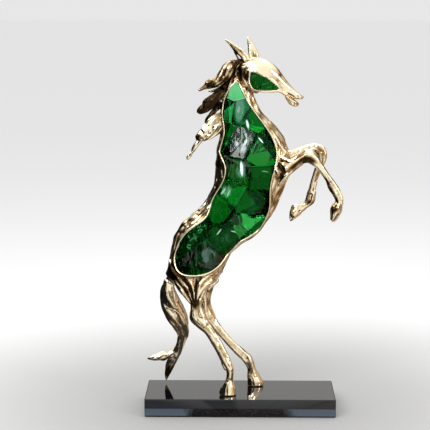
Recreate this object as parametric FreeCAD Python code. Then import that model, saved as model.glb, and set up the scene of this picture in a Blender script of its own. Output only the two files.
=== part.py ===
"""Rearing horse statuette, in millimetres.

A cast bronze horse rears on its hind legs on a black glass plinth. Its trunk, neck and cheeks are open on
both sides: a channel-shaped casting runs along the back and another down the throat, chest and belly, and a
bead of bronze edges the long window between them. Lumps of green glass fill the window. The hind hooves are
tapped for studs, which pass through the plinth to washers and nuts in recesses below, under a felt.

Axes: +X is the way the horse faces, +Y its left side, +Z up. The origin is the middle of the felt's underside.
Points of the side view are written (x, z). Every solid goes to parts/NAME.step.
"""

import FreeCAD
import Part

import math
import os
import random

from FreeCAD import Vector

# ---- driving dimensions ----
PLINTH_LENGTH = 300.0
PLINTH_DEPTH = 120.0
PLINTH_THICKNESS = 28.0
PLINTH_BEVEL = 1.2
FELT_THICKNESS = 1.0
FELT_INSET = 3.0
DECK = FELT_THICKNESS + PLINTH_THICKNESS  # height of the plinth's top face

STUD_RADIUS = 3.0
STUD_IN_HOOF = 14.0
STUD_CLEARANCE = 0.5
RECESS_RADIUS = 9.0
RECESS_DEPTH = 11.0
WASHER_RADIUS = 8.0
WASHER_THICKNESS = 1.6
NUT_ACROSS_FLATS = 10.0
NUT_HEIGHT = 5.0
STUD_BELOW_NUT = 2.0

WALL = 3.0  # thickness of the trunk's channel castings
RIM_RADIUS = 1.6  # bead round the windows
JOWL_RADIUS = 2.2
TRUNK_SQUARENESS = 2.35  # exponent of the trunk's sections: 2 is an ellipse
PELVIS_TOP = 222.0  # height where the pelvis casting meets the two channels
POLL_SPLIT_X = -7.0  # where the two channels meet above the window

GLASS_GAP = 0.8  # room between neighbouring lumps of glass
GLASS_CHIPS = 2  # corners broken off each lump
GLASS_EDGE = 0.5  # room between the glass and the window's edge
GLASS_RECESS = 2.2  # how far the glass lies under the trunk's outer surface
GLASS_SEED = 7

GLASS_REACH = 45.0  # as far as a lump can go from its seed

SECTION_POINTS = 20
FAR = 400.0  # longer than any piece

# ---- the trunk and neck: (back point, belly point, half width), from the poll down to the thighs ----
TRUNK = [
    ((-14, 540), (4, 534), 8),
    ((-21, 514), (15, 511), 11),
    ((-27, 497), (22, 494), 14),
    ((-30.5, 478), (31, 474), 17),
    ((-31, 458), (50, 457), 21.5),
    ((-31, 438), (67, 435), 27),
    ((-36, 418), (75, 412), 32.5),
    ((-38, 398), (77, 390), 36),
    ((-38, 380), (73, 370), 36.5),
    ((-41, 361), (64, 349), 35),
    ((-49, 341), (57, 330), 32),
    ((-59, 325), (46, 312), 29),
    ((-74, 312), (34, 293), 27.5),
    ((-91, 297), (18, 278), 29),
    ((-103, 276), (0, 267), 32),
    ((-109, 252), (-15, 255), 34.5),
    ((-113, 233), (-24, 234), 35),
    ((-116, 217), (-32, 215), 33),
    ((-111, 208), (-40, 204), 29),
    ((-103, 203), (-52, 200), 22),
]

# The window through the trunk, as a smooth closed outline of the side view.
WINDOW = [
    (-7, 523), (-16, 514), (-24, 500), (-28.5, 482), (-28.5, 466), (-26, 446), (-31, 424), (-33, 415),
    (-27, 400), (-24, 386), (-32, 361), (-45, 337), (-53, 314), (-72, 298), (-92, 279), (-102, 256),
    (-103, 239), (-95, 225), (-75, 220.5), (-50, 225), (-32, 237), (-18, 255), (2, 274), (24, 287),
    (38, 306), (45, 327), (46, 358), (53, 391), (56, 407), (51, 432), (38, 454), (19, 479), (5, 503),
    (-2, 518),
]

# ---- the head: (top point, bottom point, half width), from the poll to the lips ----
HEAD = [
    ((6, 558), (-6, 540), 9),
    ((18, 561), (2, 527), 13),
    ((32, 559.5), (12, 512), 16.5),
    ((46, 553), (28, 505.5), 17),
    ((59, 541), (46, 504.5), 13.5),
    ((71, 524.5), (61, 504), 10),
    ((83, 510.5), (74, 499), 8.5),
    ((93, 502.5), (87, 495), 8),
    ((99, 498.5), (95, 494.5), 4),
]
CHEEK_WINDOW = [(14, 540), (22, 540), (41, 528), (58, 513), (46, 509.5), (24, 510), (14.5, 520)]
JOWL = [(6, 547), (0, 536), (4, 525), (10, 516.5), (18, 508.5), (27, 505.5)]

# ---- limbs, locks and wisps: (x, y, z, half thickness in the side view, half thickness across) ----
HIND_LEG_RIGHT = [
    (-74, -17, 226, 34, 15), (-75.5, -20, 211, 30, 14), (-75, -22.5, 200, 22.5, 12.5),
    (-72, -25, 189.5, 15, 11), (-70, -27, 178, 9.8, 9.5), (-69, -28, 167, 9.5, 8.5),
    (-67, -29, 155, 12.5, 8.5), (-60, -29.5, 144, 10, 8),
    (-50, -30, 133, 7.5, 7), (-37, -31, 113, 7.3, 6.5), (-27, -31.5, 94, 7.5, 6.3),
    (-20.5, -32, 79, 7.8, 6.8), (-16.5, -32, 69, 6.2, 6.2), (-16.5, -32, 58, 5.5, 5.8),
    (-17.5, -32, 49, 8, 8), (-18.5, -32, 40, 12, 10), (-18.5, -32, DECK, 13.5, 11.5),
    (-18.5, -32, DECK - 6, 13.5, 11.5),
]
HIND_LEG_LEFT = [
    (-62, 17, 226, 30, 15), (-62, 20, 212, 28, 14), (-60, 22.5, 199, 20, 12.5), (-57.5, 25, 185, 12.5, 11),
    (-56.5, 25.5, 169, 8.5, 9),
    (-55, 26, 156, 9, 8.5), (-51, 26.5, 144, 10.5, 8.5), (-43, 27, 132, 8, 7.5), (-31, 27, 117, 6.8, 6.5),
    (-14, 27, 98, 6.8, 6.3), (1, 27, 83, 7.2, 6.5), (10, 27, 74, 8.2, 7), (16, 27, 64, 7.2, 6.3),
    (19, 27, 55, 7, 6.3), (21, 27, 45, 10, 9), (24, 27, 36, 13, 10.5), (24.5, 27, DECK, 14, 11),
    (24.5, 27, DECK - 6, 14, 11),
]
FORELEG_RIGHT = [
    (57, -25, 380, 13, 9), (66, -27, 385.5, 14, 10), (74, -27.5, 390.5, 11, 9.5), (83, -27, 397, 8.6, 8.2),
    (94, -26, 404.5, 8.5, 7.5), (104, -25, 408, 10, 8.5), (113, -25, 404, 9, 7.5), (121, -24, 395, 6.5, 6.5),
    (129, -24, 384, 5.3, 5.5), (137, -24, 372, 5.5, 5.5), (143, -24, 362, 7.5, 6), (149, -24, 352, 7.5, 6.2),
    (153, -24, 343, 6.2, 5.5), (153.5, -24, 335, 6, 5.5), (150.5, -24, 328, 9, 8), (147.5, -24, 320, 9.5, 9),
    (145.5, -24, 312, 7, 8), (144.5, -24, 304.5, 2.5, 4),
]
FORELEG_LEFT = [
    (66, 20, 392.5, 12, 10), (76, 19, 400.5, 10, 8.5), (92, 21, 409, 7.5, 7.5), (106, 22, 414, 7.5, 7.5),
    (117, 22, 416, 8.5, 8), (126, 22, 410.5, 10, 8.5), (128, 22, 400, 8, 7), (124.5, 22, 388, 6, 6),
    (119.5, 22, 372, 5.8, 5.5), (115, 22, 355, 5.8, 5.5), (112.5, 22, 342, 7.5, 6.5), (110, 22, 332.5, 7, 6),
    (103.5, 22, 325.5, 5.2, 5.5), (97, 22, 321.5, 7, 7), (90, 22, 317, 9.5, 9), (84, 22, 309, 7.5, 8.5),
    (78, 22, 299.5, 3, 5),
]
TAIL_STEM = [
    (-106, 0, 224, 8, 9), (-112, 0, 205, 9, 8), (-115, 2, 187, 13, 9), (-111, 6, 169, 15.5, 10),
    (-104, 11, 153, 16.5, 10.5), (-99.5, 15, 141, 16, 10), (-96, 19, 130, 14, 9), (-92.5, 24, 115, 10, 7.5),
    (-94.5, 28, 104, 7.2, 6.5), (-98, 31, 93, 6.5, 6), (-103, 34, 82, 6.5, 6), (-109, 37, 70, 7, 6),
    (-115, 40, 57, 6.5, 5.5), (-118.5, 42, 44, 4, 3.5), (-121, 43, 33, 1.2, 1.2),
]
TAIL_WISP = [
    (-101, 34, 84, 3.5, 3.5), (-111, 34, 79, 6.5, 5.5), (-118, 33.5, 76.5, 5, 5), (-126, 33, 76, 8.3, 5.5),
    (-134, 32, 74.5, 6.5, 5), (-143, 31, 73, 4, 3), (-151, 30, 72.5, 1.2, 1.2),
]
LOWER_JAW = [
    (63, 0, 505.5, 2.2, 6), (69, 0, 501, 3, 6.5), (74, 0, 495, 4.2, 6.5), (79.5, 0, 490, 6, 6.5),
    (85, 0, 487, 5.5, 6), (89.5, 0, 486, 2.5, 4),
]
EAR_RIGHT = [
    (13, -8, 552, 5, 4), (7, -9, 560, 6, 4), (0, -10.5, 568, 5, 3.5), (-9, -12, 576, 3.2, 2.5),
    (-16, -13, 581.5, 1.8, 1.6), (-21, -13.5, 585.5, 0.8, 0.8),
]
EAR_LEFT = [
    (21, 8, 553, 6, 4), (19, 9, 562, 5.5, 4), (16.5, 10, 571, 5, 3.5), (13.5, 11, 580, 3.5, 2.5),
    (11.5, 11.5, 586, 2, 1.6), (10.5, 12, 590.5, 0.9, 0.9),
]
MANE_LOCKS = {
    "mane_lock_crest": [
        (0, 0, 547, 5, 6), (-10, -1, 549, 7.5, 7.5), (-19, -2, 541, 10.5, 9), (-27, -2, 530, 10.5, 9),
        (-37, -3, 521, 8, 7), (-47, -3, 518, 6.8, 6), (-55, -3, 514.5, 4.6, 4.5), (-61, -4, 510.5, 3, 3),
        (-67, -4, 508, 2.6, 2.6),
    ],
    "mane_lock_upper": [
        (-17, 3, 524, 7, 6), (-26, 4, 514, 6, 6), (-35, 5, 509, 4.5, 4.5), (-43, 6, 507, 3, 3),
        (-51, 7, 507.5, 1.6, 1.6),
    ],
    "mane_lock_middle": [
        (-23, -1, 506, 7, 6), (-33, -3, 501, 8.5, 7), (-43, -4, 494, 9.5, 7), (-51, -4, 487, 9, 7),
        (-59, -4, 479, 7.5, 6), (-64, -4, 475.5, 5, 4.5),
    ],
    "mane_lock_inner": [
        (-28, 4, 489, 6, 5), (-38, 6, 480, 5.5, 4.5), (-47, 7, 470, 4.5, 4), (-54, 8, 461, 3, 3),
        (-57, 8, 455.5, 1.4, 1.4),
    ],
    "mane_lock_broad": [
        (-28, -3, 467, 9, 6), (-37, -5, 458, 14, 7), (-47, -6, 448, 14.5, 7), (-57, -7, 440, 11, 6.5),
        (-66, -7, 435, 6.5, 5), (-71, -7, 434, 3.5, 3),
    ],
    "mane_lock_lower": [
        (-54, 2, 439, 4, 4), (-63, 1, 431, 4.4, 4), (-71, 0, 422, 3.7, 3.3), (-77, 0, 412, 3.1, 3),
        (-81.5, 0, 404.5, 3.2, 3), (-83.5, 0, 401, 1.8, 1.8),
    ],
}

# ---- glass: (x, y, z) of the middle of each lump ----
NECK_GLASS = [(-9, 0, 509), (-1, -2, 478), (-20, 1, 480), (22, 1, 464), (-26, 2, 441)]
RIGHT_GLASS = [
    (3, -12, 425), (30, -12, 409), (48, -9, 424), (-5, -15, 383), (32, -16, 374), (-14, -15, 353),
    (15, -16, 336), (-33, -14, 325), (8, -14, 298), (-25, -15, 281), (-80, -13, 278), (-61, -17, 250),
    (-68, -13, 222),
]
LEFT_GLASS = [
    (18, 14, 424), (-14, 13, 412), (22, 16, 392), (-10, 15, 376), (34, 15, 352), (2, 16, 338),
    (-22, 14, 306), (16, 13, 310), (-8, 13, 280), (-58, 14, 286), (-86, 14, 260), (-56, 16, 242),
]
CHEEK_GLASS = [(23, 0, 524), (40, 0, 516)]


def side(point, y=0.0):
    """The point of space over (x, z) of the side view."""
    return Vector(point[0], y, point[1])


def closed_wire(points):
    """A smooth closed curve through the points, evenly spaced in its parameter so that sections match."""
    curve = Part.BSplineCurve()
    curve.interpolate(points, PeriodicFlag=True, Parameters=list(range(len(points) + 1)))
    return Part.Wire([curve.toShape()])


def ring(centre, first, second, squareness=2.0):
    """A closed section: a superellipse with half axes first and second."""
    points = []
    for i in range(SECTION_POINTS):
        angle = 2 * math.pi * i / SECTION_POINTS
        c, s = math.cos(angle), math.sin(angle)
        along = math.copysign(abs(c) ** (2 / squareness), c)
        across = math.copysign(abs(s) ** (2 / squareness), s)
        points.append(centre + first * along + second * across)
    return closed_wire(points)


def solid_of(shape):
    """The largest solid of a shape."""
    return max(shape.Solids, key=lambda s: s.Volume)


def lofted(stations, squareness, inset=0.0):
    """A solid through sections given by two opposite points of the side view and a half width, shrunk by inset."""
    wires = []
    for high, low, half_width in stations:
        centre = (side(high) + side(low)) * 0.5
        half = (side(high) - side(low)) * 0.5
        half = half * (1 - inset / half.Length)
        wires.append(ring(centre, half, Vector(0, half_width - inset, 0), squareness))
    return solid_of(Part.makeLoft(wires, True, False))


def limb(stations):
    """A solid along a path of the given half thicknesses, each section square to the path."""
    centres = [Vector(*s[:3]) for s in stations]
    wires = []
    for i, (_, _, _, thick, wide) in enumerate(stations):
        ahead = centres[min(i + 1, len(centres) - 1)]
        behind = centres[max(i - 1, 0)]
        along = (ahead - behind).normalize()
        if ahead.z < DECK:  # a sole lies flat
            along = Vector(0, 0, -1)
        outward = along.cross(Vector(0, 1, 0)).normalize()
        across = outward.cross(along)
        wires.append(ring(centres[i], outward * thick, across * wide))
    return solid_of(Part.makeLoft(wires, True, False))


def shrunk(outline, amount):
    """The closed outline moved inwards, point by point."""
    count = len(outline)
    area = sum(outline[i - 1][0] * outline[i][1] - outline[i][0] * outline[i - 1][1] for i in range(count))
    turn = math.copysign(amount, area)
    moved = []
    for i, (x, z) in enumerate(outline):
        (ax, az), (bx, bz) = outline[i - 1], outline[(i + 1) % count]
        length = math.hypot(bx - ax, bz - az)
        moved.append((x - (bz - az) / length * turn, z + (bx - ax) / length * turn))
    return moved


def prism(outline):
    """The outline of the side view, smooth, carried right through from side to side."""
    wire = closed_wire([side(p, -FAR / 2) for p in outline])
    return Part.Face(wire).extrude(Vector(0, FAR, 0))


def block(x0, x1, z0, z1):
    """A box across the whole width."""
    return Part.makeBox(x1 - x0, FAR, z1 - z0, Vector(x0, -FAR / 2, z0))


def bar(points, radius, closed):
    """A round bar through the points."""
    last = len(points) - 1
    wires = []
    for i, point in enumerate(points):
        if closed:
            along = points[(i + 1) % len(points)] - points[i - 1]
        else:
            along = points[min(i + 1, last)] - points[max(i - 1, 0)]
        along.normalize()
        outward = along.cross(Vector(0, 1, 0)).normalize()
        wires.append(ring(point, outward * radius, outward.cross(along) * radius))
    return solid_of(Part.makeLoft(wires, True, False, closed))


def half_depth(shape, x, z):
    """How far the shape reaches from the middle plane along Y at (x, z)."""
    line = Part.makeLine(Vector(x, 0, z), Vector(x, FAR, z))
    cut = line.common(shape)
    return max((v.Point.y for v in cut.Vertexes), default=0.0)


def surface_bead(shape, outline, radius, sign, closed):
    """A bead lying along an outline where it meets one side of the shape."""
    points = []
    for x, z in outline:
        depth = max(half_depth(shape, x, z), 4.0) + 0.3 * radius
        points.append(Vector(x, sign * depth, z))
    return bar(points, radius, closed)


# ---- glass lumps ----
def half_space(point, normal):
    """A big box on the side of the plane that the normal leaves."""
    box = Part.makeBox(FAR, FAR, FAR, Vector(-FAR / 2, -FAR / 2, 0))
    turn = FreeCAD.Rotation(Vector(0, 0, 1), normal)
    box.Placement = FreeCAD.Placement(point, turn)
    return box


def trunk_depth(x, z):
    """The trunk's half depth at (x, z) of the side view."""
    nearest, depth = FAR, 0.0
    for (high, low, width), (high2, low2, width2) in zip(TRUNK, TRUNK[1:]):
        for t in (0, 0.2, 0.4, 0.6, 0.8):
            back = side(high) * (1 - t) + side(high2) * t
            half = (back - side(low) * (1 - t) - side(low2) * t) * 0.5
            offset = side((x, z)) - (back - half)
            share = offset.dot(half) / half.dot(half)
            miss = (offset - half * share).Length
            if miss < nearest:
                rise = 1 - min(abs(share), 0.98) ** TRUNK_SQUARENESS
                nearest, depth = miss, (width * (1 - t) + width2 * t) * rise ** (1 / TRUNK_SQUARENESS)
    return depth


def lump(index, seeds, room, depth_at, rng):
    """A broken lump of glass: the space nearer to its seed than to the others, with fresh faces outward."""
    seed = Vector(*seeds[index])
    reach = GLASS_REACH
    shape = Part.makeBox(2 * reach, 2 * reach, 2 * reach, seed - Vector(reach, reach, reach))
    for j, other in enumerate(seeds):
        away = Vector(*other) - seed
        if j == index or away.Length > 2 * reach:
            continue
        middle = seed + away * 0.5 - away * (0.5 * GLASS_GAP / away.Length)
        shape = shape.cut(half_space(middle, away.normalize()))
    shape = solid_of(shape.common(room))
    outward = [sign for sign in (-1, 1) if seed.y * sign > -2.5]  # not the side that faces the other layer
    centre = shape.CenterOfMass
    for sign in outward:  # the faces follow the body's rounding, a little askew
        for lean in (-1, 1):
            x, z = centre.x + 7 * lean, centre.z + rng.uniform(-6, 6)
            slope_x = (depth_at(x + 4, z) - depth_at(x - 4, z)) / 8 + rng.uniform(-0.12, 0.12)
            slope_z = (depth_at(x, z + 4) - depth_at(x, z - 4)) / 8 + rng.uniform(-0.12, 0.12)
            normal = Vector(-slope_x, sign, -slope_z).normalize()
            point = Vector(x, sign * (depth_at(x, z) - GLASS_RECESS - rng.uniform(0.0, 2.0)), z)
            shape = solid_of(shape.cut(half_space(point, normal)))
    for _ in range(GLASS_CHIPS):
        sign = rng.choice(outward)
        normal = Vector(rng.uniform(-1, 1), sign * rng.uniform(0.6, 1.0), rng.uniform(-1, 1)).normalize()
        middle = shape.CenterOfMass
        extent = max((v.Point - middle).dot(normal) for v in shape.Vertexes)
        share = rng.uniform(0.76, 0.9)
        shape = solid_of(shape.cut(half_space(middle + normal * extent * share, normal)))
    return shape


def glass_lumps(room):
    """Every lump in the trunk and neck, by name."""
    rng = random.Random(GLASS_SEED)
    seeds = NECK_GLASS + RIGHT_GLASS + LEFT_GLASS
    names = [f"glass_neck_{i + 1:02d}" for i in range(len(NECK_GLASS))]
    names += [f"glass_right_{i + 1:02d}" for i in range(len(RIGHT_GLASS))]
    names += [f"glass_left_{i + 1:02d}" for i in range(len(LEFT_GLASS))]
    return {name: lump(i, seeds, room, trunk_depth, rng) for i, name in enumerate(names)}


# ---- plinth and its fixings ----
def plinth_parts(hooves):
    """The slab, the felt below it, and each stud with its washer and nut."""
    slab = Part.makeBox(PLINTH_LENGTH, PLINTH_DEPTH, PLINTH_THICKNESS,
                        Vector(-PLINTH_LENGTH / 2, -PLINTH_DEPTH / 2, FELT_THICKNESS))
    slab = slab.makeChamfer(PLINTH_BEVEL, slab.Edges)
    felt = Part.makeBox(PLINTH_LENGTH - 2 * FELT_INSET, PLINTH_DEPTH - 2 * FELT_INSET, FELT_THICKNESS,
                        Vector(FELT_INSET - PLINTH_LENGTH / 2, FELT_INSET - PLINTH_DEPTH / 2, 0))
    studs, washers, nuts = [], [], []
    up = Vector(0, 0, 1)
    shelf = FELT_THICKNESS + RECESS_DEPTH  # the washer bears up against this
    for x, y in hooves:
        slab = slab.cut(Part.makeCylinder(STUD_RADIUS + STUD_CLEARANCE, FAR, Vector(x, y, 0), up))
        slab = slab.cut(Part.makeCylinder(RECESS_RADIUS, RECESS_DEPTH, Vector(x, y, FELT_THICKNESS), up))
        nut_top = shelf - WASHER_THICKNESS
        stud_foot = nut_top - NUT_HEIGHT - STUD_BELOW_NUT
        studs.append(Part.makeCylinder(STUD_RADIUS, DECK + STUD_IN_HOOF - stud_foot, Vector(x, y, stud_foot), up))
        ring_plate = Part.makeCylinder(WASHER_RADIUS, WASHER_THICKNESS, Vector(x, y, nut_top), up)
        washers.append(ring_plate.cut(Part.makeCylinder(STUD_RADIUS + 0.2, FAR, Vector(x, y, 0), up)))
        corner = NUT_ACROSS_FLATS / 2 / math.cos(math.pi / 6)
        corners = [Vector(x + corner * math.cos(a), y + corner * math.sin(a), nut_top - NUT_HEIGHT)
                   for a in (math.pi * k / 3 for k in range(7))]
        hexagon = Part.Face(Part.makePolygon(corners)).extrude(Vector(0, 0, NUT_HEIGHT))
        nuts.append(hexagon.cut(Part.makeCylinder(STUD_RADIUS, FAR, Vector(x, y, 0), up)))
    return {
        "plinth_slab": solid_of(slab),
        "felt_underlay": felt,
        "hoof_studs": Part.Compound(studs),
        "stud_washers": Part.Compound(washers),
        "stud_nuts": Part.Compound(nuts),
    }


def hind_leg(stations, trunk):
    """A hind leg below the trunk, its sole flat on the plinth and its hoof bored for the stud."""
    x, y = stations[-1][:2]
    leg = limb(stations).cut(trunk)
    leg = leg.common(block(-FAR, FAR, DECK, FAR))
    leg = leg.cut(Part.makeCylinder(STUD_RADIUS, STUD_IN_HOOF, Vector(x, y, DECK), Vector(0, 0, 1)))
    return solid_of(leg)


def build():
    """Every piece by node name."""
    parts = plinth_parts([HIND_LEG_RIGHT[-1][:2], HIND_LEG_LEFT[-1][:2]])

    trunk = lofted(TRUNK, TRUNK_SQUARENESS)
    cavity = lofted(TRUNK[1:-1], TRUNK_SQUARENESS, WALL)
    window = prism(WINDOW)
    shell = trunk.cut(cavity).cut(window)
    parts["pelvis_casting"] = solid_of(shell.common(block(-FAR, FAR, 0, PELVIS_TOP)))
    channels = shell.common(block(-FAR, FAR, PELVIS_TOP, 2 * FAR))
    seam = block(POLL_SPLIT_X - 0.05, POLL_SPLIT_X + 0.05, 500, 2 * FAR)
    halves = sorted(channels.cut(seam).Solids, key=lambda s: -s.Volume)[:2]
    parts["back_channel"], parts["chest_channel"] = sorted(halves, key=lambda s: s.CenterOfMass.x)
    parts["window_bead_right"] = surface_bead(trunk, WINDOW, RIM_RADIUS, -1, True)
    parts["window_bead_left"] = surface_bead(trunk, WINDOW, RIM_RADIUS, 1, True)

    room = lofted(TRUNK[:-1], TRUNK_SQUARENESS, GLASS_RECESS)
    parts.update(glass_lumps(solid_of(room.common(prism(shrunk(WINDOW, GLASS_EDGE))))))

    head = lofted(HEAD, 2.2)
    parts["head_casting"] = solid_of(head.cut(prism(CHEEK_WINDOW)).cut(trunk))
    parts["jowl_bead_right"] = surface_bead(head, JOWL, JOWL_RADIUS, -1, False)
    parts["jowl_bead_left"] = surface_bead(head, JOWL, JOWL_RADIUS, 1, False)
    cheek_room = head.common(prism(shrunk(CHEEK_WINDOW, GLASS_EDGE)))
    rng = random.Random(GLASS_SEED)
    for i, name in enumerate(("glass_cheek_rear", "glass_cheek_front")):
        parts[name] = lump(i, CHEEK_GLASS, cheek_room, lambda x, z: 17.5 - 0.16 * (x - 20), rng)
    parts["lower_jaw"] = solid_of(limb(LOWER_JAW).cut(head))
    parts["ear_right"] = solid_of(limb(EAR_RIGHT).cut(head))
    parts["ear_left"] = solid_of(limb(EAR_LEFT).cut(head))

    for name, stations in MANE_LOCKS.items():
        parts[name] = solid_of(limb(stations).cut(trunk))
    parts["tail_stem"] = solid_of(limb(TAIL_STEM).cut(trunk))
    parts["tail_wisp"] = solid_of(limb(TAIL_WISP).cut(parts["tail_stem"]))

    parts["hind_leg_right"] = hind_leg(HIND_LEG_RIGHT, trunk)
    parts["hind_leg_left"] = hind_leg(HIND_LEG_LEFT, trunk)
    parts["foreleg_right"] = solid_of(limb(FORELEG_RIGHT).cut(trunk))
    parts["foreleg_left"] = solid_of(limb(FORELEG_LEFT).cut(trunk))
    return parts


def main():
    os.makedirs("parts", exist_ok=True)
    for name, shape in build().items():
        if not shape.isValid():
            print("not valid:", name)
        print(f"{name:22s} {shape.Volume / 1000:8.2f} cm3  {len(shape.Solids)} solid(s)")
        shape.exportStep(f"parts/{name}.step")


main()
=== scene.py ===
import math
import random

import bmesh
import bpy
import numpy as np
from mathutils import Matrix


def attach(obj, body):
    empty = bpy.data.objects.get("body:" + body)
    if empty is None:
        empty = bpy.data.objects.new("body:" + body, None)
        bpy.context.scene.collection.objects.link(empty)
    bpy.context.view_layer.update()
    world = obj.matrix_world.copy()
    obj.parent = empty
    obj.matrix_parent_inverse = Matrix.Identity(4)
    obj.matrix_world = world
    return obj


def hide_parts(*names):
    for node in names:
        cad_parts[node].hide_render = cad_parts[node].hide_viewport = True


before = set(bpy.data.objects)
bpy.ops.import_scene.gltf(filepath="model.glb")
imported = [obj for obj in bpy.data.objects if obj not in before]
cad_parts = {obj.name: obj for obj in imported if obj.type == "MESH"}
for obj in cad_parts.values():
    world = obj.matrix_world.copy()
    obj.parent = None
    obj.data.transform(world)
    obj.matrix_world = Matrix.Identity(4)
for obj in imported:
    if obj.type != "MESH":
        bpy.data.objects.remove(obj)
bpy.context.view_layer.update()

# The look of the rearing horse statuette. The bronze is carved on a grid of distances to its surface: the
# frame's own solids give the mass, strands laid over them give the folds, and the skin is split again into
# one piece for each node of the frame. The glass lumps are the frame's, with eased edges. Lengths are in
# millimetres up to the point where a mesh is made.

import openvdb as vdb
from mathutils import Vector

VOXEL = 0.8  # the grid's step
LOW = np.array([-160.0, -50.0, 24.0])
HIGH = np.array([170.0, 58.0, 600.0])
SHAPE = tuple(int(n) for n in np.round((HIGH - LOW) / VOXEL))
REACH = 8.0  # how far from a surface distances are kept
SPLINE_STEP = 2.5  # how finely a strand's curve is sampled
STRAND_PAD = 5  # how far round a strand's segment its distances are worked out
LARGEST_STEP = 9.0  # a strand over the bronze ends where the surface steps by more
FEET_LEVEL = 29.0  # the bronze ends here, just above the plinth's top
OPEN = 4.0  # a distance that is clear of the bronze

rng = random.Random(11)
noise_rng = np.random.default_rng(5)

# ---- stations, as in the frame: (back point, belly point, half width) in the side view ----
TRUNK = [
    ((-14, 540), (4, 534), 8), ((-21, 514), (15, 511), 11), ((-27, 497), (22, 494), 14),
    ((-30.5, 478), (31, 474), 17), ((-31, 458), (50, 457), 21.5), ((-31, 438), (67, 435), 27),
    ((-36, 418), (75, 412), 32.5), ((-38, 398), (77, 390), 36), ((-38, 380), (73, 370), 36.5),
    ((-41, 361), (64, 349), 35), ((-49, 341), (57, 330), 32), ((-59, 325), (46, 312), 29),
    ((-74, 312), (34, 293), 27.5), ((-91, 297), (18, 278), 29), ((-103, 276), (0, 267), 32),
    ((-109, 252), (-15, 255), 34.5), ((-113, 233), (-24, 234), 35), ((-116, 217), (-32, 215), 33),
    ((-111, 208), (-40, 204), 29),
]
TRUNK_SQUARENESS = 2.35
# Where the last folds start and end, in stations counted from the poll.
LAST_ON_BACK, BACK_END = 16.5, 17.6
LAST_ON_BELLY, BELLY_END = 16.0, 16.4

# Openings of the side view, right through.
WINDOW = [
    (-7, 523), (-16, 514), (-24, 500), (-28.5, 482), (-28.5, 466), (-26, 446), (-31, 424), (-33, 415),
    (-27, 400), (-24, 386), (-32, 361), (-45, 337), (-53, 314), (-72, 298), (-92, 279), (-102, 256),
    (-103, 239), (-95, 225), (-75, 220.5), (-50, 225), (-32, 237), (-18, 255), (2, 274), (24, 287),
    (38, 306), (45, 327), (46, 358), (53, 391), (56, 407), (51, 432), (38, 454), (19, 479), (5, 503),
    (-2, 518),
]
CHEEK_WINDOW = [(15, 535), (22, 536), (41, 526.5), (58, 513), (46, 509.5), (24, 510), (15, 519)]

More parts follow.
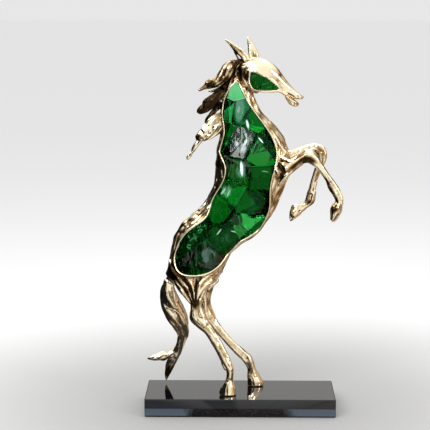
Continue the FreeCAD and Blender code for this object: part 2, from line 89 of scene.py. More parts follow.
# (x, y, z, half thickness in the side view, half thickness across)
LIMBS = {
    "hind_leg_right": [
        (-74, -17, 226, 34, 15), (-75.5, -20, 211, 30, 14), (-75, -22.5, 200, 22.5, 12.5),
        (-72, -25, 189.5, 15, 11), (-70, -27, 178, 9.8, 9.5), (-69, -28, 167, 9.5, 8.5),
        (-67, -29, 155, 12.5, 8.5), (-60, -29.5, 144, 10, 8), (-50, -30, 133, 7.5, 7),
        (-37, -31, 113, 7.3, 6.5), (-27, -31.5, 94, 7.5, 6.3), (-20.5, -32, 79, 7.8, 6.8),
        (-16.5, -32, 69, 6.2, 6.2), (-16.5, -32, 58, 5.5, 5.8), (-17.5, -32, 49, 8, 8),
    ],
    "hind_leg_left": [
        (-62, 17, 226, 30, 15), (-62, 20, 212, 28, 14), (-60, 22.5, 199, 20, 12.5),
        (-57.5, 25, 185, 12.5, 11), (-56.5, 25.5, 169, 8.5, 9), (-55, 26, 156, 9, 8.5),
        (-51, 26.5, 144, 10.5, 8.5), (-43, 27, 132, 8, 7.5), (-31, 27, 117, 6.8, 6.5),
        (-14, 27, 98, 6.8, 6.3), (1, 27, 83, 7.2, 6.5), (10, 27, 74, 8.2, 7), (16, 27, 64, 7.2, 6.3),
        (19, 27, 55, 7, 6.3), (21, 27, 45, 10, 9),
    ],
    "foreleg_right": [
        (57, -25, 380, 13, 9), (66, -27, 385.5, 14, 10), (74, -27.5, 390.5, 11, 9.5),
        (83, -27, 397, 8.6, 8.2), (94, -26, 404.5, 8.5, 7.5), (104, -25, 408, 10, 8.5),
        (113, -25, 404, 9, 7.5), (121, -24, 395, 6.5, 6.5), (129, -24, 384, 5.3, 5.5),
        (137, -24, 372, 5.5, 5.5), (143, -24, 362, 7.5, 6), (149, -24, 352, 7.5, 6.2),
        (153, -24, 343, 6.2, 5.5), (153.5, -24, 335, 6, 5.5), (150.5, -24, 328, 9, 8),
    ],
    "foreleg_left": [
        (66, 20, 392.5, 12, 10), (76, 19, 400.5, 10, 8.5), (92, 21, 409, 7.5, 7.5), (106, 22, 414, 7.5, 7.5),
        (117, 22, 416, 8.5, 8), (126, 22, 410.5, 10, 8.5), (128, 22, 400, 8, 7), (124.5, 22, 388, 6, 6),
        (119.5, 22, 372, 5.8, 5.5), (115, 22, 355, 5.8, 5.5), (112.5, 22, 342, 7.5, 6.5),
        (110, 22, 332.5, 7, 6), (103.5, 22, 325.5, 5.2, 5.5), (97, 22, 321.5, 7, 7),
    ],
    "tail_stem": [
        (-106, 0, 224, 8, 9), (-112, 0, 205, 9, 8), (-115, 2, 187, 13, 9), (-111, 6, 169, 15.5, 10),
        (-104, 11, 153, 16.5, 10.5), (-99.5, 15, 141, 16, 10), (-96, 19, 130, 14, 9),
        (-92.5, 24, 115, 10, 7.5), (-94.5, 28, 104, 7.2, 6.5), (-98, 31, 93, 6.5, 6), (-103, 34, 82, 6.5, 6),
        (-109, 37, 70, 7, 6), (-115, 40, 57, 6.5, 5.5), (-118.5, 42, 44, 4, 3.5), (-121, 43, 33, 1.2, 1.2),
    ],
    "tail_wisp": [
        (-101, 34, 84, 3.5, 3.5), (-111, 34, 79, 6.5, 5.5), (-118, 33.5, 76.5, 5, 5),
        (-126, 33, 76, 8.3, 5.5), (-134, 32, 74.5, 6.5, 5), (-143, 31, 73, 4, 3), (-151, 30, 72.5, 1.2, 1.2),
    ],
    "mane_lock_crest": [
        (0, 0, 547, 5, 6), (-10, -1, 549, 7.5, 7.5), (-19, -2, 541, 10.5, 9), (-27, -2, 530, 10.5, 9),
        (-37, -3, 521, 8, 7), (-47, -3, 518, 6.8, 6), (-55, -3, 514.5, 4.6, 4.5), (-61, -4, 510.5, 3, 3),
        (-67, -4, 508, 2.6, 2.6),
    ],
    "mane_lock_upper": [
        (-17, 3, 524, 7, 6), (-26, 4, 514, 6, 6), (-35, 5, 509, 4.5, 4.5), (-43, 6, 507, 3, 3),
        (-51, 7, 507.5, 1.6, 1.6),
    ],
    "mane_lock_middle": [
        (-23, -1, 506, 7, 6), (-33, -3, 501, 8.5, 7), (-43, -4, 494, 9.5, 7), (-51, -4, 487, 9, 7),
        (-59, -4, 479, 7.5, 6), (-64, -4, 475.5, 5, 4.5),
    ],
    "mane_lock_inner": [
        (-28, 4, 489, 6, 5), (-38, 6, 480, 5.5, 4.5), (-47, 7, 470, 4.5, 4), (-54, 8, 461, 3, 3),
        (-57, 8, 455.5, 1.4, 1.4),
    ],
    "mane_lock_broad": [
        (-28, -3, 467, 9, 6), (-37, -5, 458, 14, 7), (-47, -6, 448, 14.5, 7), (-57, -7, 440, 11, 6.5),
        (-66, -7, 435, 6.5, 5), (-71, -7, 434, 3.5, 3),
    ],
    "mane_lock_lower": [
        (-54, 2, 439, 4, 4), (-63, 1, 431, 4.4, 4), (-71, 0, 422, 3.7, 3.3), (-77, 0, 412, 3.1, 3),
        (-81.5, 0, 404.5, 3.2, 3), (-83.5, 0, 401, 1.8, 1.8),
    ],
}

# How each limb is clothed: strands round it, their share of its thickness, turns along it, side sway in mm.
BUNDLES = {
    "hind_leg_right": (5, 0.52, 0.2, 0.5), "hind_leg_left": (5, 0.52, -0.2, 0.5),
    "foreleg_right": (5, 0.52, 0.15, 0.4), "foreleg_left": (5, 0.52, -0.15, 0.4),
    "tail_stem": (6, 0.48, 0.6, 1.6), "tail_wisp": (5, 0.42, 0.5, 0.6),
    "mane_lock_crest": (8, 0.34, 0.35, 1.0), "mane_lock_upper": (4, 0.45, 0.3, 0.6),
    "mane_lock_middle": (7, 0.36, 0.4, 1.0), "mane_lock_inner": (4, 0.45, 0.4, 0.6),
    "mane_lock_broad": (8, 0.26, 0.12, 0.8), "mane_lock_lower": (4, 0.45, 0.5, 0.4),
}

# Solids of the frame that the bronze is made of, and how softly each runs into its neighbours.
SOFTNESS = {
    "pelvis_casting": 3.5, "back_channel": 3.5, "chest_channel": 3.5, "head_casting": 3.0, "lower_jaw": 2.0,
    "hind_leg_right": 5.0, "hind_leg_left": 5.0, "foreleg_right": 5.0, "foreleg_left": 5.0,
    "tail_stem": 3.5, "tail_wisp": 2.0, "ear_right": 2.0, "ear_left": 2.0,
    "mane_lock_crest": 2.5, "mane_lock_upper": 2.0, "mane_lock_middle": 2.5, "mane_lock_inner": 2.0,
    "mane_lock_broad": 2.5, "mane_lock_lower": 2.0,
    "window_bead_right": 1.0, "window_bead_left": 1.0, "jowl_bead_right": 1.2, "jowl_bead_left": 1.2,
}
BRONZE = list(SOFTNESS)
BEADS = BRONZE[-4:]

# How much darker some pieces are painted, partly patina and partly painted shade; below zero a piece is
# painted lighter as a highlight.
PIECE_PATINA_AND_LIGHT = {
    "mane_lock_crest": 0.14, "mane_lock_upper": 0.20, "mane_lock_middle": 0.22, "mane_lock_inner": 0.16,
    "back_channel": 0.08, "tail_stem": -0.12, "head_casting": -0.04, "window_bead_right": -0.25,
    "window_bead_left": -0.25, "chest_channel": 0.02,
}
# Darker spots in the side view, partly patina and partly painted shade: (x, z, spread, how much). Below zero
# a spot is a painted highlight.
PATINA_AND_LIGHT_SPOTS = [
    (-108, 232, 11, 0.25), (-104, 219, 11, 0.35), (-88, 214, 9, 0.25), (-72, 178, 8, 0.45),
    (-79, 197, 8, 0.35), (-103, 283, 8, 0.25), (-97, 297, 7, 0.15), (-45, 190, 7, 0.15), (-66, 214, 6, 0.2),
    (-30, 226, 8, 0.15), (-2, 556, 7, 0.3), (-2, 541, 8, 0.4), (3, 530, 7, 0.35), (-12, 551, 5, 0.2),
    (-18, 525, 7, 0.3), (-30, 525, 7, 0.2), (-46, 518, 6, 0.35), (-62, 510, 4, 0.2), (-45, 492, 11, 0.35),
    (-60, 479, 7, 0.4), (-30, 506, 8, 0.35), (-31, 470, 8, 0.25), (-54, 461, 6, 0.3), (-67, 437, 5, 0.4),
    (-78, 411, 6, 0.2), (-14, 576, 7, 0.3), (-8, 566, 5, 0.25), (10, 577, 4, 0.4), (-32, 440, 6, 0.2),
    (-38, 400, 9, 0.3), (-45, 358, 8, 0.2), (60, 393, 6, 0.5), (63, 380, 6, 0.35), (63, 352, 8, 0.2),
    (56, 334, 8, 0.15), (98, 402, 8, 0.35), (84, 391, 7, 0.25), (110, 398, 7, 0.35), (134, 367, 5, 0.35),
    (139, 354, 6, 0.35), (146, 340, 5, 0.35), (146, 326, 7, 0.4), (118, 326, 6, 0.3), (79, 300, 6, 0.4),
    (108, 331, 6, 0.25), (128, 412, 8, 0.15), (-98, 155, 8, 0.15), (-4, 558, 6, 0.3), (58, 546, 4, 0.15),
    (72, 522, 4, 0.15), (-118, 48, 17, 0.5), (-101, 108, 9, 0.2), (-127, 184, 5, 0.3), (60, 541, 3.5, 0.35),
    (61, 533, 3.5, 0.3), (57, 525, 3, 0.2), (24, 505, 8, 0.2), (48, 507, 7, 0.2), (12, 510, 7, 0.2),
    (21, 492, 8, 0.25), (34, 471, 9, 0.25), (49, 452, 9, 0.2), (61, 435, 9, 0.15), (88, 488, 6, 0.2),
    (28, 34, 5, 0.1), (14, 55, 5, 0.3), (-24, 60, 4, 0.3), (-111, 190, 8, -0.15), (-52, 448, 9, -0.25),
    (40, 546, 15, -0.2), (80, 512, 13, -0.2), (-148, 73, 5, 0.4), (22, 560, 6, 0.15), (-66, 150, 9, -0.15),
    (-60, 196, 8, -0.15), (128, 392, 8, -0.15), (146, 356, 6, -0.1), (-127, 78, 6, -0.2),
]

# Folds and grooves over the thigh, the tail and the shoulder, in the side view: (x, z, radius)
THIGH_FOLDS = [
    [(-71, 177, 2.5), (-63, 196, 4.2), (-47, 211, 4.8), (-31, 225, 4.0), (-22, 240, 2.0)],
    [(-66, 175, 2.0), (-52, 190, 3.6), (-38, 203, 4.2), (-27, 218, 3.2), (-20, 232, 1.8)],
    [(-74, 179, 2.4), (-83, 200, 4.0), (-95, 214, 4.4), (-106, 227, 3.4), (-111, 242, 2.0)],
    [(-72, 182, 2.0), (-74.5, 200, 3.2), (-80, 213, 3.0), (-86, 219, 1.6)],
    [(-69, 184, 2.0), (-65, 203, 3.0), (-58, 214, 3.0), (-50, 219, 1.6)],
    [(-78, 177, 2.2), (-92, 197, 3.4), (-106, 211, 3.6), (-114, 224, 2.2)],
]
THIGH_GROOVES = [
    [(-73, 178, 1.4), (-78, 199, 2.4), (-88, 213, 1.8)],
    [(-70, 180, 1.2), (-69.5, 200, 2.0), (-69, 215, 1.4)],
    [(-68, 178, 1.2), (-57, 197, 2.0), (-42, 209, 1.6)],
    [(-77, 180, 1.2), (-88, 199, 2.0), (-101, 214, 1.6)],
]
TAIL_GROOVES = [
    [(-112, 163, 0.8), (-104, 160, 1.5), (-96, 154, 1.6), (-90, 146, 0.8)],
    [(-104, 156, 0.8), (-99, 150, 1.5), (-100, 142, 1.2), (-96, 134, 0.7)],
    [(-112, 190, 0.8), (-106, 176, 1.4), (-101, 164, 0.9)],
]
SHOULDER_FOLDS = [
    [(48, 446, 2.2), (57, 430, 3.8), (68, 414, 4.4), (84, 405, 3.2), (98, 408, 2.0)],
    [(54, 416, 2.2), (62, 406, 3.4), (77, 400, 3.2)],
    [(56, 386, 3.2), (59, 381, 3.8), (58, 376, 2.6)],
    [(57, 360, 2.2), (66, 374, 3.6), (80, 388, 3.6), (94, 397, 2.4)],
    [(52, 344, 2.0), (58, 358, 3.0), (68, 370, 2.4)],
]
SHOULDER_HOLLOW = [(60, 398, 1.8), (63, 391, 3.2), (67, 383, 2.2)]


# ---- the grid ----
field = np.full(SHAPE, REACH, np.float32)
nearest = np.full(SHAPE, REACH, np.float32)
owner = np.zeros(SHAPE, np.int8)


def window_of(low, high):
    """The grid's slices that cover a box, and the box's first index."""
    first = np.maximum(np.floor((np.array(low) - LOW) / VOXEL).astype(int), 0)
    last = np.minimum(np.ceil((np.array(high) - LOW) / VOXEL).astype(int) + 1, SHAPE)
    last = np.maximum(last, first)
    return tuple(slice(a, b) for a, b in zip(first, last)), first


def merge(slices, distance, node, softness):
    """Adds a shape to the grid, run softly into what is there."""
    if min(distance.shape) == 0:
        return
    here = field[slices]
    share = np.clip(0.5 + 0.5 * (here - distance) / softness, 0, 1)
    here[...] = here + (distance - here) * share - softness * share * (1 - share)
    best = nearest[slices]
    closer = distance < best
    best[closer] = distance[closer]
    owner[slices][closer] = BRONZE.index(node)


def carve(slices, distance, softness):
    """Takes a shape away from the grid."""
    here = field[slices]
    share = np.clip(0.5 - 0.5 * (here + distance) / softness, 0, 1)
    here[...] = here + (-distance - here) * share + softness * share * (1 - share)


def solid_distance(name):
    """Distances to one of the frame's solids, and where they lie in the grid."""
    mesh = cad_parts[name].data
    points = np.empty(len(mesh.vertices) * 3, np.float32)
    mesh.vertices.foreach_get("co", points)
    points = points.reshape(-1, 3) * 1000
    mesh.calc_loop_triangles()
    corners = np.empty(len(mesh.loop_triangles) * 3, np.int32)
    mesh.loop_triangles.foreach_get("vertices", corners)
    grid = vdb.FloatGrid.createLevelSetFromPolygons(
        points - LOW.astype(np.float32), triangles=corners.reshape(-1, 3).astype(np.uint32),
        transform=vdb.createLinearTransform(voxelSize=VOXEL), halfWidth=REACH / VOXEL)
    slices, first = window_of(points.min(0) - REACH, points.max(0) + REACH)
    dense = np.empty([s.stop - s.start for s in slices], np.float32)
    grid.copyToArray(dense, ijk=tuple(int(i) for i in first))
    return slices, dense


def add_solid(name, shrink=0.0):
    """Adds one of the frame's solids to the bronze, a little shrunk where strands are to clothe it."""
    slices, distance = solid_distance(name)
    merge(slices, distance + shrink, name, SOFTNESS[name])


def curve_point(a, b, c, d, t):
    """A point between b and c of a smooth curve through all four."""
    return 0.5 * (2 * b + (c - a) * t + (2 * a - 5 * b + 4 * c - d) * t**2 + (3 * b - a - 3 * c + d) * t**3)


def spline(points, step):
    """A smooth curve through the points, every coordinate alike, sampled about every step millimetres."""
    points = [np.array(p, float) for p in points]
    padded = [2 * points[0] - points[1]] + points + [2 * points[-1] - points[-2]]
    samples = []
    for a, b, c, d in zip(padded, padded[1:], padded[2:], padded[3:]):
        count = max(1, int(np.linalg.norm((c - b)[:3]) / step))
        samples += [curve_point(a, b, c, d, i / count) for i in range(count)]
    samples.append(points[-1])
    return samples


def stroke_distance(points):
    """Distances to a tapering strand through (x, y, z, radius) points."""
    samples = spline(points, SPLINE_STEP)
    pad = max(s[3] for s in samples) + REACH
    places = np.array([s[:3] for s in samples])
    slices, first = window_of(places.min(0) - pad, places.max(0) + pad)
    shape = [s.stop - s.start for s in slices]
    dense = np.full(shape, REACH, np.float32)
    origin = LOW + first * VOXEL
    for a, b in zip(samples, samples[1:]):
        low = np.minimum(a[:3], b[:3]) - max(a[3], b[3]) - STRAND_PAD
        high = np.maximum(a[:3], b[:3]) + max(a[3], b[3]) + STRAND_PAD
        i0 = np.clip(np.floor((low - origin) / VOXEL).astype(int), 0, shape)
        i1 = np.clip(np.ceil((high - origin) / VOXEL).astype(int) + 1, 0, shape)
        if (i1 <= i0).any():
            continue
        x, y, z = np.ix_(*(origin[k] + np.arange(i0[k], i1[k]) * VOXEL - a[k] for k in range(3)))
        ab = b[:3] - a[:3]
        along = np.clip((x * ab[0] + y * ab[1] + z * ab[2]) / max(ab @ ab, 1e-9), 0, 1)
        gap = np.sqrt((x - along * ab[0]) ** 2 + (y - along * ab[1]) ** 2 + (z - along * ab[2]) ** 2)
        gap -= a[3] + along * (b[3] - a[3])
        part = dense[i0[0]:i1[0], i0[1]:i1[1], i0[2]:i1[2]]
        np.minimum(part, gap, out=part)
    return slices, dense


def stroke(node, points, softness):
    """Adds a strand to the bronze."""
    slices, distance = stroke_distance(points)
    merge(slices, distance, node, softness)


def groove(points, softness):
    """Cuts a strand-shaped groove."""
    slices, distance = stroke_distance(points)
    carve(slices, distance, softness)


def lay_pairs(pairs):
    """Strands on both sides of the horse, each with its node and softness. One without a node is a groove."""
    for node, softness, points in pairs:
        for side in (points, mirrored(points)):
            if node:
                stroke(node, side, softness)
            else:
                groove(side, softness)


def outline_distance(outline):
    """Signed distances in the side view to a smooth closed outline, negative inside."""
    padded = [outline[-1]] + outline + outline[:2]
    curve = []
    for a, b, c, d in zip(*(np.array(padded[k:len(padded) - 3 + k], float) for k in range(4))):
        curve += [curve_point(a, b, c, d, t) for t in (0, 0.25, 0.5, 0.75)]
    x = (LOW[0] + np.arange(SHAPE[0]) * VOXEL)[:, None]
    z = (LOW[2] + np.arange(SHAPE[2]) * VOXEL)[None, :]
    gap = np.full((SHAPE[0], SHAPE[2]), 1e6)
    inside = np.zeros(gap.shape, bool)
    for (ax, az), (bx, bz) in zip(curve, curve[1:] + curve[:1]):
        run, rise = bx - ax, bz - az
        along = np.clip(((x - ax) * run + (z - az) * rise) / (run**2 + rise**2), 0, 1)
        gap = np.minimum(gap, (x - ax - along * run) ** 2 + (z - az - along * rise) ** 2)
        if az != bz:
            inside ^= ((az > z) != (bz > z)) & (x < run * (z - az) / rise + ax)
    return np.where(inside, -1, 1) * np.sqrt(gap)


def open_through(outline, margin):
    """Clears the bronze inside an outline of the side view."""
    clear = (-outline_distance(outline) - margin).astype(np.float32)
    np.maximum(field, clear[:, None, :], out=field)


def mirrored(points):
    """The same strand on the horse's other side."""
    return [(x, -y, z, r) for x, y, z, r in points]


# ---- strands ----
def limb_frames(stations):
    """The centre, the outward and the across direction of each station."""
    centres = [np.array(s[:3], float) for s in stations]
    frames = []
    for i, centre in enumerate(centres):
        along = centres[min(i + 1, len(centres) - 1)] - centres[max(i - 1, 0)]
        along /= np.linalg.norm(along)
        outward = np.cross(along, (0, 1, 0))
        outward /= np.linalg.norm(outward)
        frames.append((centre, outward, np.cross(outward, along)))
    return frames


def bundle(node, stations, count, share, turns, sway):
    """Strands laid round a limb, each a little wayward."""
    frames = limb_frames(stations)
    last = len(stations) - 1
    for k in range(count):
        start = 2 * math.pi * (k + rng.uniform(-0.25, 0.25)) / count
        phase = rng.uniform(0, 6.28)
        size = rng.uniform(0.8, 1.25)
        begin = rng.choice((0, 0, 1))
        end = last - rng.choice((0, 0, 0, 1))
        points = []
        for i in range(begin, end + 1):
            centre, outward, across = frames[i]
            thick, wide = stations[i][3:]
            angle = start + 2 * math.pi * turns * i / last
            c, s = math.cos(angle), math.sin(angle)
            radius = share * size * (0.55 * min(thick, wide) + 0.45 * (thick * c * c + wide * s * s))
            radius = max(radius * (0.85 + 0.3 * math.sin(1.7 * i + phase)), 0.5)
            place = centre + outward * max(thick - 0.8 * radius, 0) * c
            place = place + across * max(wide - 0.8 * radius, 0) * s
            place = place + (-outward * s + across * c) * sway * math.sin(1.3 * i + phase)
            points.append((*place, radius))
        stroke(node, points, 0.9)


def trunk_point(level, lateral, lift, front):
    """A point on the trunk's skin. level counts stations from the poll, lateral runs from -1 to 1 across."""
    i = min(int(level), len(TRUNK) - 2)
    t = level - i
    high, low, half_width = (
        np.array(a, float) * (1 - t) + np.array(b, float) * t for a, b in zip(TRUNK[i], TRUNK[i + 1])
    )
    if front:
        high, low = low, high
    centre, half = (high + low) / 2, (high - low) / 2
    rise = (1 - min(abs(lateral), 1) ** TRUNK_SQUARENESS) ** (1 / TRUNK_SQUARENESS)
    length = np.linalg.norm(half)
    place = centre + half * (rise + lift / length)
    return np.array([place[0], lateral * (half_width + lift), place[1]])


def flow(node, levels, lateral, radius, lift, sway, front=False, softness=1.2):
    """A strand that runs along the trunk's skin, fading at both ends."""
    phase = rng.uniform(0, 6.28)
    count = max(3, int((levels[1] - levels[0]) * 3))
    points = []
    for i in range(count + 1):
        t = i / count
        level = levels[0] + (levels[1] - levels[0]) * t
        fade = min(1.0, 0.25 + 3.2 * min(t, 1 - t))
        shift = sway * math.sin(2.1 * level + phase)
        place = trunk_point(level, max(-0.99, min(0.99, lateral + shift)), lift * fade - 0.35 * radius, front)
        points.append((*place, radius * fade * (0.9 + 0.2 * math.sin(3.3 * level + phase))))
    stroke(node, points, softness)


def drape(node, points, side, solid, softness, sunk=0.35, cut=False):
    """A strand over the outermost bronze of one side, through (x, z, radius) points, or a groove along it.
    It ends where the bronze does, or steps down."""
    laid = []
    for x, z, radius in points:
        i, k = (int(round((value - LOW[axis]) / VOXEL)) for value, axis in ((x, 0), (z, 2)))
        filled = np.nonzero(solid[i, :, k])[0]
        if len(filled):
            edge = LOW[1] + filled[0 if side < 0 else -1] * VOXEL - side * sunk * radius
            if laid and abs(edge - laid[-1][1]) > LARGEST_STEP:
                if len(laid) > 1:
                    break
                laid = []
            laid.append((x, edge, z, radius))
    if len(laid) > 1:
        if cut:
            groove(laid, softness)
        else:
            stroke(node, laid, softness)


def leaned(points, lean):
    """The far thigh, whose lean is 1, leans forward lower down."""
    return [(x + 14 * lean * max(0.0, 1 - (z - 176) / 42), z, r) for x, z, r in points]


def build_bronze():
    """Fills the grid."""
    for name in ("back_channel", "chest_channel", "pelvis_casting", "head_casting"):
        add_solid(name)
    for name, stations in LIMBS.items():
        add_solid(name, 0.7)
        bundle(name, stations, *BUNDLES[name])
    for name in ("lower_jaw", "ear_right", "ear_left"):
        add_solid(name, 0.4)

    # folds down the back: slim on the neck, heavy and flame-like over the loin and the rump
    for lateral in (-0.86, -0.62, -0.36, -0.1, 0.16, 0.42, 0.66, 0.88):
        level = 0.4
        while level < LAST_ON_BACK:
            length = rng.uniform(2.0, 4.0)
            heavy = 1.0 if level < 9 else 1.55
            radius = rng.uniform(1.7, 2.7) * heavy
            flow("back_channel", (level, min(level + length, BACK_END)), lateral + rng.uniform(-0.06, 0.06),
                 radius, rng.uniform(0.2, 1.0) * heavy, rng.uniform(0.02, 0.07))
            level += length * rng.uniform(0.5, 0.8)
    # a backing for the thin belly
    for lateral in (-0.5, -0.25, 0.0, 0.25, 0.5):
        flow("chest_channel", (8.5, 16.0), lateral, 2.6, 0.6, 0.0, True, 1.5)
    # the breast and belly: broad shallow folds
    for lateral in (-0.8, -0.5, -0.2, 0.1, 0.4, 0.7):
        level = 1.5
        while level < LAST_ON_BELLY:
            length = rng.uniform(2.5, 5.0)
            flow("chest_channel", (level, min(level + length, BELLY_END)),
                 lateral + rng.uniform(-0.08, 0.08), rng.uniform(2.2, 3.6), rng.uniform(-0.6, 0.3),
                 rng.uniform(0.02, 0.06), True, 2.4)
            level += length * rng.uniform(0.7, 1.0)

    # thigh folds gather from under the window to the stifle, the shoulder runs out into the forearm
    solid = field < 0
    sides = ((-1, "hind_leg_right", "foreleg_right", 0), (1, "hind_leg_left", "foreleg_left", 1))
    for side, thigh, arm, lean in sides:
        for points in THIGH_FOLDS:
            points = leaned(points, lean)
            drape(thigh, [p for p in points if not lean or p[0] < -42], side, solid, 0.8)
        for points in THIGH_GROOVES:
            drape(thigh, leaned(points, lean), side, solid, 0.8, -0.3, True)
        for points in SHOULDER_FOLDS:
            drape(arm, points, side, solid, 1.6)
        for points in TAIL_GROOVES:
            drape("tail_stem", points, side, solid, 0.7, -0.3, True)
        drape(arm, SHOULDER_HOLLOW, side, solid, 1.4, -0.2, True)

    head_details()
    leg_details()
    open_through(WINDOW, 0.2)
    open_through(CHEEK_WINDOW, 0.0)
    # the beads lie over all of that
    for name in BEADS:
        add_solid(name)


def head_details():
    """Brow, cheek borders, nose, lips, ears and the tangle behind the poll."""
    pairs = [
        ("head_casting", 3.5, [(16, 12, 543, 1.2), (24, 14.5, 541, 1.5), (42, 14, 529.5, 1.6),
                               (58, 10, 514, 1.4), (66, 8, 507, 1.0)]),
        ("head_casting", 1.0, [(13, 10, 522, 1.6), (18, 12, 513, 2.0), (30, 15, 508.5, 2.0),
                               (46, 13.5, 508, 1.9), (60, 10, 508, 1.8), (71, 8, 502, 1.4)]),
        ("head_casting", 0.8, [(86, 6.2, 503, 1.4), (90.5, 7.4, 500.5, 1.9), (94, 6.4, 498, 1.4),
                               (92, 5.6, 495.5, 0.9)]),
        ("", 0.6, [(91.5, 8.6, 498.5, 0.9), (92.5, 8.4, 497.4, 0.8)]),
        ("head_casting", 1.6, [(12, 12, 539, 2.2), (19, 14, 539, 2.8), (27, 15.5, 536, 2.6),
                               (35, 16, 531.5, 1.8)]),
        ("head_casting", 1.2, [(12.5, 11.5, 528, 2.4), (14, 12.5, 520, 2.8), (18, 13.5, 513.5, 2.8),
                               (25, 14.5, 510, 2.2)]),
    ]
    lay_pairs(pairs)
    stroke("head_casting", [(-1, 0, 534, 4), (4, 0, 524, 5.5), (10, 0, 515, 4.5)], 2.0)
    # the mouth's corner and the chin
    lay_pairs([("lower_jaw", 0.9, [(64, 6, 505, 1.2), (71, 6, 499, 1.6), (78, 6.2, 494, 1.8),
                                   (86, 5.4, 490, 1.6)])])
    stroke("lower_jaw", [(76, 0, 489, 2.6), (83, 0, 486, 3.2), (89, 0, 487, 2.0)], 1.4)
    # ears: two edges each, with a hollow between them
    stroke("ear_right", [(-24, -13.5, 588, 0.9), (-12, -13, 580, 1.7), (-2, -12, 573, 2.1),
                         (6, -11, 565.5, 2.2), (14, -9, 556, 2.2)], 0.7)
    stroke("ear_right", [(-24, -13.5, 587.5, 0.9), (-15, -12, 577.5, 1.6), (-9.5, -10.5, 568, 2.0),
                         (-5, -8.5, 559, 2.1), (-2, -7, 551, 1.8)], 0.7)
    stroke("ear_right", [(-17, -12.5, 581.5, 1.4), (-8, -12, 572, 3.2), (2, -10.5, 562, 4.2),
                         (6, -9, 556, 4.2)], 1.0)
    stroke("ear_left", [(10.8, 12, 591, 0.7), (11, 11.5, 582, 1.4), (12, 10.5, 573, 1.8),
                        (14, 8.5, 563, 2.0), (15, 7, 556, 2.0)], 0.7)
    stroke("ear_left", [(10.8, 12, 591, 0.7), (16, 12, 582.5, 1.5), (20.5, 11, 575, 1.9),
                        (24.5, 10, 567, 2.0), (27, 8, 559, 2.0)], 0.7)
    groove([(14.5, 7, 580, 1.0), (17, 5.5, 571, 2.2), (20, 4.5, 564, 2.2)], 0.7)
    # the middle lock ends in two fingers, the crest lock in a knob
    stroke("mane_lock_middle", [(-38, -4, 501, 3.6), (-48, -5, 496, 4.0), (-55, -5, 492.5, 3.4)], 0.8)
    groove([(-68, -4, 486.5, 2.4), (-57, -4, 487.5, 2.0), (-48, -4, 488.5, 1.0)], 0.8)
    stroke("mane_lock_middle", [(-61, -4, 479, 5.4), (-64, -4, 476.5, 5.2)], 1.0)
    stroke("mane_lock_crest", [(-47, -4, 521.5, 5.4), (-51, -4, 520, 5.0)], 1.2)
    # behind the poll
    lay_pairs([
        ("head_casting", 0.8, [(14, 9, 553, 1.6), (6, 10.5, 546, 2.2), (2, 10.5, 536, 2.3), (4, 10, 526, 2.0),
                               (10, 9, 517, 1.6)]),
        ("mane_lock_crest", 0.8, [(10, 7, 556, 1.8), (1, 8, 552, 2.4), (-6, 8.5, 543, 2.4),
                                  (-8, 8.5, 533, 1.8)]),
    ])
    stroke("mane_lock_crest", [(16, 0, 559, 2.2), (6, 0, 556.5, 3.0), (-6, 0, 554, 3.0),
                               (-15, 0, 549, 2.4)], 1.0)


def leg_details():
    """Knees, hocks, fetlocks and the hooves' rims."""
    knobs = {
        "foreleg_right": [
            ((101, -28, 411, 4.6), (109, -28, 409.5, 4.4)), ((104, -22, 403, 3.6), (109, -22, 402, 3.0)),
            ((141, -26, 364, 4.2), (146, -26, 357, 4.4)), ((154, -25, 346, 3.6), (155.5, -25, 341, 3.2)),
        ],
        "foreleg_left": [
            ((121, 19, 419, 4.2), (128, 19, 416, 4.6)), ((118, 22, 409, 3.6), (122, 22, 407, 3.4)),
            ((113, 20, 345, 3.8), (109.5, 20, 337, 3.8)),
        ],
        "hind_leg_right": [
            ((-75, -31, 159, 4.2), (-73, -31, 151, 4.6)), ((-64, -34, 150, 4.2), (-57, -34, 143, 4.4)),
            ((-17, -35, 80, 4.0), (-14, -35, 73, 3.6)), ((-27, -33, 80, 3.0), (-24, -33, 72, 2.8)),
        ],
        "hind_leg_left": [
            ((-56, 24, 151, 4.0), (-52, 24, 143, 4.2)), ((14, 25, 76, 4.0), (18, 25, 69, 3.6)),
            ((5, 26, 76, 3.2), (9, 26, 69, 3.0)),
        ],
    }
    for node, pairs in knobs.items():
        for points in pairs:
            stroke(node, points, 2.0)
    # the far raised hoof, the heel of the near standing hoof, and the clefts of the raised hooves
    stroke("foreleg_left", [(94, 21, 321, 5.5), (86.5, 21, 322.5, 5.0), (82.5, 21, 315, 3.6),
                            (78, 21, 303, 1.2)], 1.4)
    stroke("hind_leg_right", [(-27, -33, 40, 3.4), (-29, -33, 33, 4.2), (-27, -33, 27, 3.0)], 2.0)
    groove([(144, -29, 306, 1.6), (149, -29, 314, 2.2), (152, -28, 322, 1.2)], 1.4)
    groove([(82, 17, 306, 1.4), (88, 17, 313, 2.0), (94, 17, 318, 1.2)], 1.4)


# ---- noise ----
def smooth_weights(count, cell):
    """How each fine cell draws on the coarse ones: a cubic bump."""
    fine = (np.arange(count) * VOXEL / cell)[:, None]
    coarse = np.arange(int(count * VOXEL / cell) + 4)[None, :] - 1
    gap = np.abs(fine - coarse)
    near = 2 / 3 - gap**2 + gap**3 / 2
    far = (2 - gap) ** 3 / 6
    return np.where(gap < 1, near, np.where(gap < 2, far, 0)).astype(np.float32)


def noise(cell):
    """Smooth random values over the whole grid, between about -1 and 1."""
    wx, wy, wz = (smooth_weights(n, c) for n, c in zip(SHAPE, cell))
    values = noise_rng.uniform(-1, 1, (wx.shape[1], wy.shape[1], wz.shape[1])).astype(np.float32)
    values = np.tensordot(wx, values, (1, 0))
    values = np.einsum("ijk,yj->iyk", values, wy)
    return (values @ wz.T) * 2.2


def soften(values, passes):
    """Blurs a little along every axis."""
    for _ in range(passes):
        for axis in range(3):
            values = (np.roll(values, 1, axis) + 2 * values + np.roll(values, -1, axis)) / 4
    return values


def ramp(values, low, high):
    """0 below low, 1 above high, smooth between."""
    t = np.clip((values - low) / (high - low), 0, 1)
    return t * t * (3 - 2 * t)


